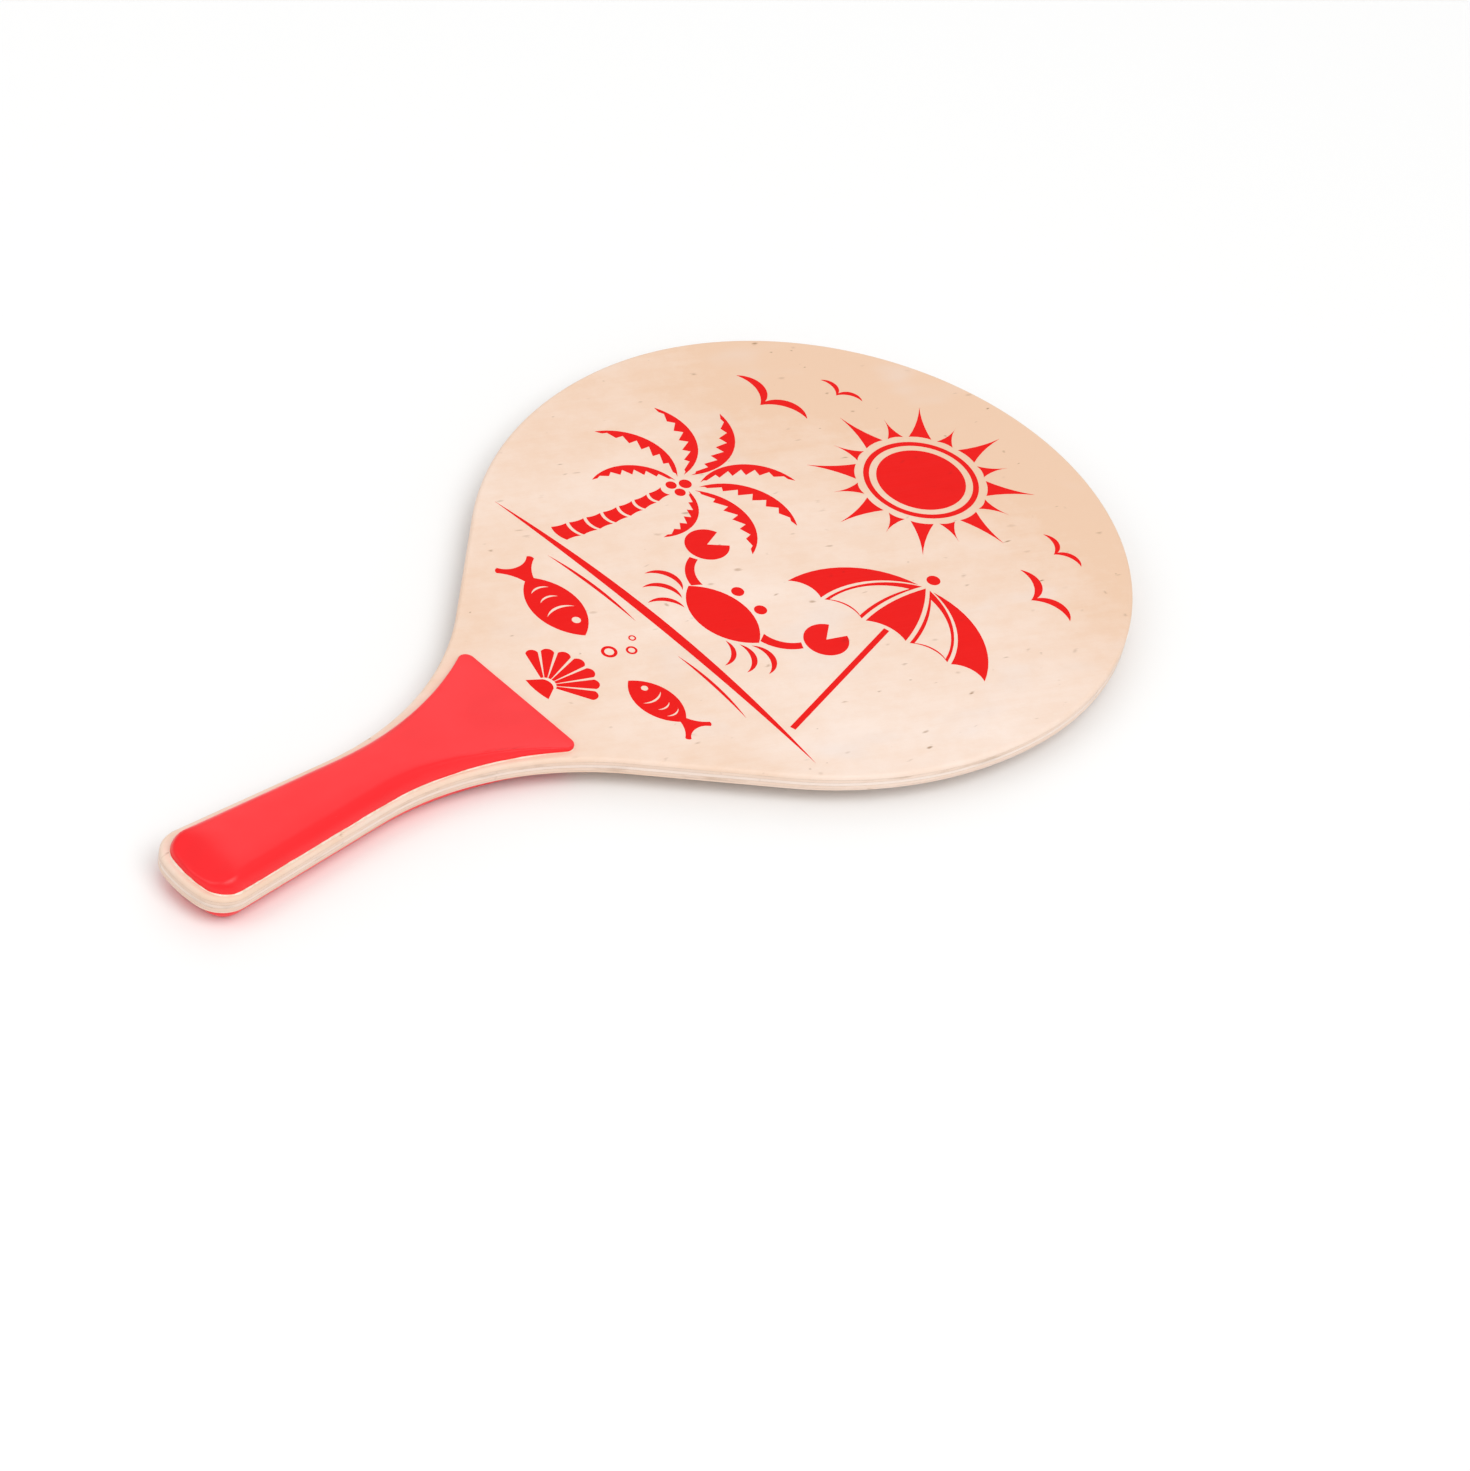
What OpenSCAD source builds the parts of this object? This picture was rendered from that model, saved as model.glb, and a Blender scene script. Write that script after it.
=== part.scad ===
// Beach game paddle: a plywood bat with a nearly round blade and a pair of red handle scales.
// The paddle lies flat, +X towards the tip of the blade, +Z out of its front face.

/* [Blade outline] */
// Overall length, from the tip of the blade to the end of the butt
paddle_len = 380; // [350:1:420]
// Width of the blade at its widest, which is also the diameter of its round far end
blade_w = 216; // [196:1:236]
// Radius of the sides where they draw in below the widest line
side_r = 128; // [116:1:142]
// Straight run along each shoulder, between the side and the hollow of the neck
shoulder_len = 50; // [40:1:60]

/* [Handle outline] */
// Radius of the hollow neck on each side
neck_r = 109; // [98:1:120]
// Width of the handle at its narrowest
waist_w = 27; // [25:0.5:32]
// Angle at which each side of the handle opens out towards the butt
handle_taper = 3.25; // [2:0.25:5]
// Radius of the two corners of the butt
butt_corner_r = 11; // [9:0.5:13]
// Radius of the butt's shallow round end
butt_r = 44; // [30:1:60]

/* [Plywood] */
// Thickness of each face veneer after sanding
face_t = 1.4; // [1:0.05:1.8]
// Thickness of each crossband veneer
crossband_t = 1.1; // [0.8:0.05:1.6]
// Thickness of the core veneer
core_t = 1.1; // [0.8:0.05:2]
// Thickness of the glue line between two veneers
glue_line_t = 0.1; // [0.05:0.01:0.2]
// Radius of the rounded arris all the way round the edge
arris_r = 1.3; // [0.5:0.05:1.3]

/* [Handle scales] */
// Distance from the tip of the blade to the straight top edge of the scales
scale_from_tip = 241; // [236:1:246]
// Bare plywood left showing round each scale
scale_margin = 2.5; // [1.5:0.1:3.5]
// Extra radius of the scales' hollow over the board's, which leaves more plywood beside the top edge
flare_ease = 9.5; // [0:0.5:15]
// How far the scales sit to one side of the board's middle line
scale_shift = 1; // [0:0.1:1.2]
// Height of the scale at its crown
scale_h = 6; // [5:0.25:8]
// Height of the scale along its thin top edge
scale_edge_t = 1.2; // [0.8:0.1:2]
// Radius of the rounded shoulder along the sides and the butt
scale_shoulder_r = 5.2; // [3:0.1:5.2]
// Radius of the two corners at the ends of the top edge
scale_corner_r = 3; // [1.5:0.25:4]
// Length of the ramp from the thin top edge up to the crown
ramp_len = 55; // [45:1:65]
// Radius of the bend where the ramp meets the crown
ramp_bend_r = 300; // [100:10:400]
// Length of the stretch that curves down towards the butt
nose_len = 15; // [8:1:18]
// Radius of that downward curve
nose_r = 30; // [27:1:60]
// Thickness of the glue film under each scale
glue_film_t = 0.1; // [0.05:0.01:0.2]

/* [Hidden] */
$fa = 2;
$fs = 0.4;

veneer_color = "#EBD9C4";
crossband_color = "#D3B797";
glue_line_color = "#8C7560";
scale_color = "#F23A3A";
glue_film_color = "#EFE6CF";

// Heights of the layers, measured up from the middle of the board
core_top = core_t / 2;
inner_glue_top = core_top + glue_line_t;
crossband_top = inner_glue_top + crossband_t;
outer_glue_top = crossband_top + glue_line_t;
board_top = outer_glue_top + face_t;
film_top = board_top + glue_film_t;

// Unit vector at an angle in the plane of the board
function ray(a) = [cos(a), sin(a)];

// One half of the outline is a chain of tangent arcs and lines, each placed by its outward normal's angle.
// The blade's far end is a half circle and its sides follow a larger one.
tip_centre = [paddle_len / 2 - blade_w / 2, 0];
side_centre = [tip_centre.x, blade_w / 2 - side_r];

// The neck's hollow touches the narrowest width, and a straight shoulder joins it to the side
neck_reach = norm([side_r + neck_r, shoulder_len]);
neck_y = waist_w / 2 + neck_r;
neck_centre = [side_centre.x - sqrt(neck_reach ^ 2 - (neck_y - side_centre.y) ^ 2), neck_y];
side_to_neck = neck_centre - side_centre;
shoulder_normal = atan2(side_to_neck.y, side_to_neck.x) - atan2(shoulder_len, side_r + neck_r);
shoulder_end = neck_centre - neck_r * ray(shoulder_normal);

// The handle's straight side leaves the hollow at its taper
handle_normal = 90 - handle_taper;
handle_dir = ray(handle_normal + 90);
handle_start = neck_centre - neck_r * ray(handle_normal);

// The butt's corner touches the handle's side and runs into the butt's round end
butt_centre = [-paddle_len / 2 + butt_r, 0];
corner_track = handle_start - butt_corner_r * ray(handle_normal) - butt_centre;
track_along = corner_track * handle_dir;
track_short = corner_track * corner_track - (butt_r - butt_corner_r) ^ 2;
handle_run = sqrt(track_along ^ 2 - track_short) - track_along;
handle_end = handle_start + handle_run * handle_dir;
corner_offset = corner_track + handle_run * handle_dir;
corner_centre = butt_centre + corner_offset;
butt_normal = atan2(corner_offset.y, corner_offset.x);

// The arris is a quarter round on the outer corner of each face veneer
face_round_r = min(arris_r, face_t);
arris_rings = 4;

// The scales' outline runs inside the board's and is closed by a straight top edge with round corners.
// Its hollow leaves the handle's straight side where the board's does, and opens out less.
scale_top_x = paddle_len / 2 - scale_from_tip;
scale_neck_r = neck_r + scale_margin + flare_ease;
scale_neck_centre = handle_start + (scale_neck_r - scale_margin) * ray(handle_normal);
top_corner_x = scale_top_x - scale_corner_r;
corner_to_neck_x = scale_neck_centre.x - top_corner_x;
corner_to_neck_y = sqrt((scale_neck_r + scale_corner_r) ^ 2 - corner_to_neck_x ^ 2);
top_corner = [top_corner_x, scale_neck_centre.y - corner_to_neck_y];
top_corner_normal = atan2(corner_to_neck_y, corner_to_neck_x);

// Side view of a scale: thin edge, ramp, bend into the crown and curve down to the butt
ramp_slope = atan2(scale_h - scale_edge_t, ramp_len);
bend_x = scale_top_x - ramp_len - ramp_bend_r * tan(ramp_slope / 2);
ramp_foot_x = bend_x + ramp_bend_r * sin(ramp_slope);
nose_x = -paddle_len / 2 + scale_margin + nose_len;

// The shoulder's round stands on an upright wall, which is lower where the scale is thin
least_round = 0.4 * scale_edge_t;
round_r = min(scale_shoulder_r, scale_h - least_round);
wall_h = scale_h - round_r;
shoulder_rings = 6;

// Places along an arc, each a point and its outward normal; a hollow arc has a negative radius
function arc_places(centre, r, from, to, steps, first = 1) = [
    for (i = [first : steps])
        let (a = from + (to - from) * i / steps, p = centre + r * ray(a))
            [p.x, p.y, a]
];

// Places along a straight side, leaving out its start
function line_places(start, end, normal, steps = 1) = [
    for (i = [1 : steps])
        let (p = start + (end - start) * i / steps)
            [p.x, p.y, normal]
];

// A half outline that ends on the middle line, closed by its mirror image
function both_halves(half) = concat(
    half,
    [for (i = [len(half) - 1 : -1 : 0]) if (half[i].y > 0) [half[i].x, -half[i].y, half[i].z]]
);

function flat(places) = [for (p = places) [p.x, p.y]];

// A point some way in from a place on an outline, at a height
function inset_point(place, inset, height) =
    [place.x - inset * cos(place.z), place.y - inset * sin(place.z), height];

// Half of the board's outline, from the middle of the tip to the middle of the butt
board_half = concat(
    arc_places(tip_centre, blade_w / 2, 0, 90, 30, 0),
    arc_places(side_centre, side_r, 90, shoulder_normal, 16),
    line_places(side_centre + side_r * ray(shoulder_normal), shoulder_end, shoulder_normal),
    arc_places(neck_centre, -neck_r, shoulder_normal, handle_normal, 16),
    line_places(handle_start, handle_end, handle_normal),
    arc_places(corner_centre, butt_corner_r, handle_normal, butt_normal, 10),
    arc_places(butt_centre, butt_r, butt_normal, 180, 6)
);

// Half of a scale's outline, from the end of its top edge to the middle of the butt
scale_half = concat(
    arc_places(top_corner, scale_corner_r, 0, top_corner_normal, 6, 0),
    arc_places(scale_neck_centre, -scale_neck_r, top_corner_normal, handle_normal, 16),
    line_places(
        handle_start - scale_margin * ray(handle_normal),
        handle_end - scale_margin * ray(handle_normal),
        handle_normal,
        8
    ),
    arc_places(corner_centre, butt_corner_r - scale_margin, handle_normal, butt_normal, 10),
    arc_places(butt_centre, butt_r - scale_margin, butt_normal, 180, 6)
);

// Height of a scale along its middle
function crest(x) =
    x > ramp_foot_x ? scale_edge_t + (scale_top_x - x) * tan(ramp_slope) :
    x > bend_x ? scale_h - ramp_bend_r + sqrt(ramp_bend_r ^ 2 - (x - bend_x) ^ 2) :
    x > nose_x ? scale_h :
    scale_h - nose_r + sqrt(nose_r ^ 2 - (nose_x - x) ^ 2);

// Height of the upright wall at a place on the scale's outline
function wall_at(place) = min(wall_h, crest(place.x) - least_round);

// Angle through which the shoulder turns before it meets the crest, found in a few tries
function shoulder_turn(place, turn = 45, tries = 8) =
    tries == 0 ? turn :
    let (x = place.x - round_r * (1 - cos(turn)) * cos(place.z))
        let (rise = (crest(x) - wall_at(place)) / round_r)
            shoulder_turn(place, asin(min(1, rise)), tries - 1);

// A point of the shoulder's round above a place on the outline
function shoulder_point(place, ring) =
    let (turn = shoulder_turn(place) * ring / shoulder_rings)
        inset_point(place, round_r * (1 - cos(turn)), wall_at(place) + round_r * sin(turn));

// A point of the arris's round above a place on the board's outline
function arris_point(place, ring) =
    let (turn = 90 * ring / arris_rings)
        inset_point(place, face_round_r * (1 - cos(turn)), face_t - face_round_r * (1 - sin(turn)));

// One inner layer of the board, standing on a height
module inner_layer(bottom, thickness) {
    translate([0, 0, bottom])
        linear_extrude(thickness)
            polygon(flat(both_halves(board_half)));
}

// A closed shell through rings of points, each given as its half that ends on the middle line
module mirrored_shell(half_rings) {
    points = [for (half = half_rings) each both_halves(half)];
    rings = len(half_rings);
    count = len(points) / rings;
    top = (rings - 1) * count;
    last = len(half_rings[0]) - 1;
    sides = [
        for (ring = [0 : rings - 2], j = [0 : count - 1])
            let (a = ring * count + j, b = ring * count + (j + 1) % count)
                each [[a, a + count, b + count], [a, b + count, b]]
    ];
    // The flat ends are strips between each place and its mirror image
    strips = [
        for (j = [0 : last - 1])
            let (a = j, b = (2 * last - j) % count, d = 2 * last - j - 1)
                each [[a, b, d], [a, d, j + 1]]
    ];
    whole_strips = [for (f = strips) if (f[0] != f[1] && f[1] != f[2]) f];
    lid = [for (f = whole_strips) [f[0] + top, f[1] + top, f[2] + top]];
    foot = [for (f = whole_strips) [f[0], f[2], f[1]]];
    polyhedron(points, concat(sides, lid, foot));
}

// A face layer, with its arris rounded
module face_layer() {
    foot = [for (place = board_half) inset_point(place, 0, 0)];
    arris = [for (k = [0 : arris_rings]) [for (place = board_half) arris_point(place, k)]];
    translate([0, 0, outer_glue_top])
        mirrored_shell(concat([foot], arris));
}

// A scale: glued face, wall, shoulder and crest
module handle_scale() {
    foot = [for (place = scale_half) inset_point(place, 0, 0)];
    shoulder = [for (k = [0 : shoulder_rings]) [for (place = scale_half) shoulder_point(place, k)]];
    translate([0, -scale_shift, film_top])
        mirrored_shell(concat([foot], shoulder));
}

module front_face_veneer() {
    color(veneer_color)
        face_layer();
}

module front_outer_glue_line() {
    color(glue_line_color)
        inner_layer(crossband_top, glue_line_t);
}

module front_crossband() {
    color(crossband_color)
        inner_layer(inner_glue_top, crossband_t);
}

module front_inner_glue_line() {
    color(glue_line_color)
        inner_layer(core_top, glue_line_t);
}

module core_veneer() {
    color(veneer_color)
        inner_layer(-core_top, core_t);
}

module rear_inner_glue_line() {
    mirror([0, 0, 1])
        front_inner_glue_line();
}

module rear_crossband() {
    mirror([0, 0, 1])
        front_crossband();
}

module rear_outer_glue_line() {
    mirror([0, 0, 1])
        front_outer_glue_line();
}

module rear_face_veneer() {
    mirror([0, 0, 1])
        front_face_veneer();
}

module front_scale_glue() {
    color(glue_film_color)
        translate([0, -scale_shift, board_top])
            linear_extrude(glue_film_t)
                polygon(flat(both_halves(scale_half)));
}

module front_handle_scale() {
    color(scale_color)
        handle_scale();
}

module rear_scale_glue() {
    mirror([0, 0, 1])
        front_scale_glue();
}

module rear_handle_scale() {
    mirror([0, 0, 1])
        front_handle_scale();
}

front_face_veneer();
front_outer_glue_line();
front_crossband();
front_inner_glue_line();
core_veneer();
rear_inner_glue_line();
rear_crossband();
rear_outer_glue_line();
rear_face_veneer();
front_scale_glue();
front_handle_scale();
rear_scale_glue();
rear_handle_scale();
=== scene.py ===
# %% [markdown]
# # A beach game paddle
# The paddle is a plywood bat: five veneers glued flat on each other, sawn to a round blade with a
# short handle, and a red wooden scale glued on each side of the handle. The CAD model is already
# exact, so this lesson keeps its sizes and rebuilds each piece with a finer, smoother mesh, a
# finish that follows the real material, and a printed design on the blade.

# %% Load the fixed frame
import math

import bmesh
import bpy
from mathutils import Matrix, Vector, noise
from mathutils.bvhtree import BVHTree


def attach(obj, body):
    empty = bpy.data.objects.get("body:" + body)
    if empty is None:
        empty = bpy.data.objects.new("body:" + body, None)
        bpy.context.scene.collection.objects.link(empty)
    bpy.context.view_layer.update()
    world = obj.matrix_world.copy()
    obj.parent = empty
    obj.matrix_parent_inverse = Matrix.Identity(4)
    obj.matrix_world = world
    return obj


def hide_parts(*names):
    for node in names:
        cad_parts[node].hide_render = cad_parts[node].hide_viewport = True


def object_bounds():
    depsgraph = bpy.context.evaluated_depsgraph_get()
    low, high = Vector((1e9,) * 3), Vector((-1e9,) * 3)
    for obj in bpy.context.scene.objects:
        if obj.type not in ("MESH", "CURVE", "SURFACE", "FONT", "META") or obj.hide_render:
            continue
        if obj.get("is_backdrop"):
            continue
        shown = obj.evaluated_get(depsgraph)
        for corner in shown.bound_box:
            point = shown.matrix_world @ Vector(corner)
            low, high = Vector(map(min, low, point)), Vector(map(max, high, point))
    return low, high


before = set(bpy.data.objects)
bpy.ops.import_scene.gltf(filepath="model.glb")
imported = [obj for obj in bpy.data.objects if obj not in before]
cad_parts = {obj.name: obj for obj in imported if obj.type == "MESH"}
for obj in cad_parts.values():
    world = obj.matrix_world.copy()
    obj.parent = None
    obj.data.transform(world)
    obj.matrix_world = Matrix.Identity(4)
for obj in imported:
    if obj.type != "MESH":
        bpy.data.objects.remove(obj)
cad_low, cad_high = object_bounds()
MM = 0.001
print("CAD box in mm:", [round(size / MM, 2) for size in cad_high - cad_low])

# %% [markdown]
# ## The camera
# The camera stands where the photograph was taken from: above the handle's end and a little to its
# right, 1.6 m away, with a long lens. It could be aimed by eye, but the outline of the blade fixes
# its place exactly. It was solved from that once, and is written down here as plain numbers.

# %% Set the camera
camera = bpy.data.objects.new("camera", bpy.data.cameras.new("camera"))
camera.data.sensor_width = 36
camera.data.lens = 119.72
camera.data.clip_start = 0.05
camera.location = (-0.91893, -0.75186, 1.03685)
camera.rotation_euler = [math.radians(angle) for angle in (47.414, -9.0816, -44.2783)]
bpy.context.scene.collection.objects.link(camera)
bpy.context.scene.camera = camera
print("camera stands", round(camera.location.length, 3), "m from the middle of the paddle")

# %% [markdown]
# ## Floor and light
# The paddle lies on the crown of its rear scale, so the floor passes just there. Small lamps would
# throw hard shadows, so a large pale floor, a white surround and big soft lamps give the bright,
# nearly shadowless light of a studio. The key and the fill shape the edges, the panel at the back
# mirrors in the enamel and gives the handle's crown its paler sheen, a weak low panel opens up the
# near edge, and one very wide lamp keeps the floor even. The plain view transform keeps the strong
# red as strong as it is.

# %% Lay the floor
FLOOR_REACH = 12


def new_material(name):
    """Gives a new material, its node tree and its shader."""
    made = bpy.data.materials.new(name)
    made.use_nodes = True
    tree = made.node_tree
    return made, tree, tree.nodes["Principled BSDF"]


def mesh_object(bm, name, material):
    """Turns a finished bmesh into an object of the scene."""
    mesh = bpy.data.meshes.new(name)
    bm.to_mesh(mesh)
    bm.free()
    mesh.materials.append(material)
    made = bpy.data.objects.new(name, mesh)
    bpy.context.scene.collection.objects.link(made)
    return made


bm = bmesh.new()
bmesh.ops.create_grid(bm, x_segments=1, y_segments=1, size=FLOOR_REACH)
bmesh.ops.translate(bm, verts=bm.verts, vec=(0, 0, cad_low.z))
pale_floor, _, shader = new_material("pale floor")
shader.inputs["Base Color"].default_value = (0.92, 0.92, 0.915, 1)
shader.inputs["Roughness"].default_value = 0.7
floor = mesh_object(bm, "floor", pale_floor)
floor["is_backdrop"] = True
print("floor lies at", round(cad_low.z / MM, 2), "mm")


# %% Hang the lamps
def soft_lamp(name, place, size, power):
    """Hangs a round lamp that looks at the middle of the paddle."""
    lamp = bpy.data.objects.new(name, bpy.data.lights.new(name, "AREA"))
    lamp.data.shape = "DISK"
    lamp.data.size = size
    lamp.data.energy = power
    lamp.location = place
    lamp.rotation_euler = (-Vector(place)).to_track_quat("-Z", "Y").to_euler()
    bpy.context.scene.collection.objects.link(lamp)
    return lamp


key_lamp = soft_lamp("key lamp", place=(-0.3, -1.1, 1.9), size=1.6, power=10)
soft_lamp("fill lamp", place=(-1.6, 0.6, 1.5), size=1.4, power=6)
soft_lamp("back panel", place=(1.5, 1.3, 1.75), size=2.4, power=8)
soft_lamp("low panel", place=(0.3, -1.5, 0.3), size=1.0, power=0.9)
wide_lamp = bpy.data.objects.new("wide lamp", bpy.data.lights.new("wide lamp", "SUN"))
wide_lamp.data.energy = 0.72
wide_lamp.data.angle = math.radians(50)
wide_lamp.rotation_euler = key_lamp.rotation_euler
bpy.context.scene.collection.objects.link(wide_lamp)
bpy.context.scene.view_settings.view_transform = "Standard"

# %% [markdown]
# ## The white surround
# Every finish from here on is a node tree. Nodes could be wired one by one, but short helpers keep
# the wiring readable: they add a node, set its values and plug in the sockets that feed it. The
# surround uses them first. It lights the paddle a little less than the camera sees of it, so that
# the far end of the floor melts into white.

# %% Fill the surround with light
SURROUND_LIGHT, SURROUND_SEEN = 0.62, 1


def add(tree, kind, inputs=(), **settings):
    """Adds a node; each of its inputs gets a value, or a link from a socket."""
    made = tree.nodes.new("ShaderNode" + kind)
    for key, value in settings.items():
        setattr(made, key, value)
    for key, value in dict(inputs).items():
        if isinstance(value, bpy.types.NodeSocket):
            tree.links.new(value, made.inputs[key])
        else:
            made.inputs[key].default_value = value
    return made


def ramp(tree, value, low, high, to_low=0.0, to_high=1.0):
    """Takes a value's range to another range, with soft ends."""
    made = add(
        tree, "MapRange",
        {"Value": value, "From Min": low, "From Max": high, "To Min": to_low, "To Max": to_high},
        interpolation_type="SMOOTHSTEP",
    )
    return made.outputs["Result"]


world = bpy.data.worlds.new("white surround")
world.use_nodes = True
bpy.context.scene.world = world
surround = world.node_tree.nodes["Background"].inputs
surround["Color"].default_value = (1, 1, 1, 1)
by_camera = add(world.node_tree, "LightPath").outputs["Is Camera Ray"]
strength = ramp(world.node_tree, by_camera, 0, 1, SURROUND_LIGHT, SURROUND_SEEN)
world.node_tree.links.new(strength, surround["Strength"])
print("surround:", len(world.node_tree.nodes), "nodes")

# %% [markdown]
# ## Hardened glue
# A thin dark resin joins the plies, and a pale wood glue holds the scales. Each could be one flat
# colour, but hardened glue is mottled, and glossier where it lies thicker. A single noise gives the
# colour, the gloss and a slight relief, so all three change together. It reads the object's own
# coordinates, with its lumps given in mm, so it has its real size on every piece.

# %% Make the two glues
FACTOR, COLOR_A, COLOR_B, COLOR_OUT = 0, 6, 7, 2
THIN_GLUE_DULLS = 0.15


def object_vector(tree, turn_deg=0.0, shift=(0, 0, 0)):
    """Places on the object, turned about Z and shifted."""
    place = add(tree, "TexCoord").outputs["Object"]
    turn = (0, 0, math.radians(turn_deg))
    turned = add(tree, "Mapping", {"Vector": place, "Rotation": turn, "Location": shift})
    return turned.outputs["Vector"]


def stretched_noise(tree, vector, sizes_mm, detail, roughness=0.5):
    """Noise whose lumps have their own size along each axis."""
    scale = [1 / (size * MM) for size in sizes_mm]
    place = add(tree, "Mapping", {"Vector": vector, "Scale": scale}).outputs["Vector"]
    values = {"Vector": place, "Scale": 1.0, "Detail": detail, "Roughness": roughness}
    return add(tree, "TexNoise", values).outputs["Fac"]


def mix_color(tree, share, first, second):
    """Mixes two colours. A Mix node's colour sockets are known by their numbers."""
    made = add(tree, "Mix", {FACTOR: share, COLOR_A: first, COLOR_B: second}, data_type="RGBA")
    return made.outputs[COLOR_OUT]


def wire_shader(tree, shader, color, roughness, height, strength, depth):
    """Plugs a colour, a roughness and a relief into a shader."""
    bump = add(tree, "Bump", {"Height": height, "Strength": strength, "Distance": depth})
    tree.links.new(color, shader.inputs["Base Color"])
    tree.links.new(roughness, shader.inputs["Roughness"])
    tree.links.new(bump.outputs["Normal"], shader.inputs["Normal"])


def glue_material(name, light, dark, size_mm, roughness):
    """Hardened glue: mottled, and glossier where it lies thicker."""
    made, tree, shader = new_material(name)
    mottle = stretched_noise(tree, object_vector(tree), (size_mm,) * 3, 3, 0.6)
    color = mix_color(tree, ramp(tree, mottle, 0.35, 0.65), (*light, 1), (*dark, 1))
    gloss = ramp(tree, mottle, 0.3, 0.7, roughness, roughness + THIN_GLUE_DULLS)
    wire_shader(tree, shader, color, gloss, mottle, strength=0.3, depth=0.05 * MM)
    return made


glue_line = glue_material(
    "glue line", light=(0.66, 0.50, 0.39), dark=(0.44, 0.31, 0.22), size_mm=6, roughness=0.5
)
dried_glue = glue_material(
    "dried glue", light=(0.90, 0.78, 0.66), dark=(0.80, 0.64, 0.48), size_mm=2.5, roughness=0.3
)
print("glues:", glue_line.name, "and", dried_glue.name)

# %% [markdown]
# ## Veneer
# Birch-like veneer is pale, with a soft mottle, long faint streaks, fine fibres and a scatter of
# small brown flecks where twigs grew. A flat picture could be laid on the face, but it would stop
# at the edge of the board. Noise goes right through the wood. Most of it is stretched along the
# grain. Each layer of plywood uses the same figure turned its own way, so the figure is one node
# group with the colours as its inputs.

# %% Open the veneer figure
FIGURE_COLORS = "Pale", "Warm", "Cool", "Fleck"
figure = bpy.data.node_groups.new("veneer_figure", "ShaderNodeTree")
takes = {"Vector": "Vector", "Tone": "Float", **{color: "Color" for color in FIGURE_COLORS}}
gives = {"Color": "Color", "Fibre": "Float", "Height": "Float"}
for sockets, in_out in ((takes, "INPUT"), (gives, "OUTPUT")):
    for socket, kind in sockets.items():
        figure.interface.new_socket(socket, in_out=in_out, socket_type="NodeSocket" + kind)
given = figure.nodes.new("NodeGroupInput").outputs
result = figure.nodes.new("NodeGroupOutput").inputs
print("veneer figure takes", list(takes), "and gives", list(gives))


# %% Mix the wood's colour
def math_node(tree, operation, first, second=0.0):
    return add(tree, "Math", {0: first, 1: second}, operation=operation).outputs[0]


grain = given["Vector"]
cloud = stretched_noise(figure, grain, (60, 35, 20), 2)
cool = stretched_noise(figure, grain, (42, 24, 20), 2, 0.6)
mottle = stretched_noise(figure, grain, (11, 8, 8), 4, 0.72)
streak = stretched_noise(figure, grain, (70, 3.2, 3.2), 4, 0.55)
fibre = stretched_noise(figure, grain, (14, 0.4, 0.4), 3, 0.6)
tone = given["Tone"]
for texture, low, high, weakest, strongest in (
    (cloud, 0.3, 0.7, -0.11, 0.16),
    (mottle, 0.3, 0.7, -0.1, 0.12),
    (streak, 0.35, 0.75, 0, 0.09),
    (fibre, 0.45, 0.8, 0, 0.05),
):
    tone = math_node(figure, "ADD", tone, ramp(figure, texture, low, high, weakest, strongest))
wood = mix_color(figure, tone, given["Pale"], given["Warm"])
wood = mix_color(figure, ramp(figure, cool, 0.55, 0.78, 0, 0.35), wood, given["Cool"])
print("the wood's colour takes", len(figure.nodes), "nodes")

# %% [markdown]
# The flecks are spots in the cells of a Voronoi net, which puts one spot in each cell that chance
# picks. A slow noise bends the net, so that the spots lean this way and that, as growth rings do,
# and the fibres fray their rims.

# %% Scatter the flecks
LEAN_SIZE, LEAN_REACH, FLECK_TURN = 20 * MM, 10 * MM, math.radians(-10)
FRAYED_OFF, DRAWN_OUT, SOFT_RIM, FAINTEST = 0.4, 0.3, 0.8, 0.35
lean = add(figure, "TexNoise", {"Vector": grain, "Scale": 1 / LEAN_SIZE, "Detail": 1.0})
bent = add(
    figure, "VectorMath", {0: lean.outputs["Color"], 1: (LEAN_REACH,) * 3, 2: grain},
    operation="MULTIPLY_ADD",
)
leaning = add(figure, "Mapping", {"Vector": bent.outputs["Vector"], "Rotation": (0, 0, FLECK_TURN)})


def fleck_mask(cell_mm, largest, share):
    """Small soft spots in a share of the cells. The largest size is a share of a cell."""
    scale = [1 / (size * MM) for size in (*cell_mm, 1)]
    net = add(figure, "Mapping", {"Vector": leaning.outputs["Vector"], "Scale": scale})
    cells = add(
        figure, "TexVoronoi", {"Vector": net.outputs["Vector"], "Scale": 1.0},
        voronoi_dimensions="2D",
    )
    chance = add(figure, "SeparateColor", {"Color": cells.outputs["Color"]}).outputs
    size = ramp(figure, chance["Red"], 1 - share, 1, 0, largest)
    near = math_node(figure, "SUBTRACT", size, cells.outputs["Distance"])
    frayed = ramp(figure, fibre, 0.3, 0.7, -FRAYED_OFF * largest, DRAWN_OUT * largest)
    spots = ramp(figure, math_node(figure, "ADD", near, frayed), 0, SOFT_RIM * largest)
    return math_node(figure, "MULTIPLY", spots, ramp(figure, chance["Green"], 0, 1, FAINTEST, 1))


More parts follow.
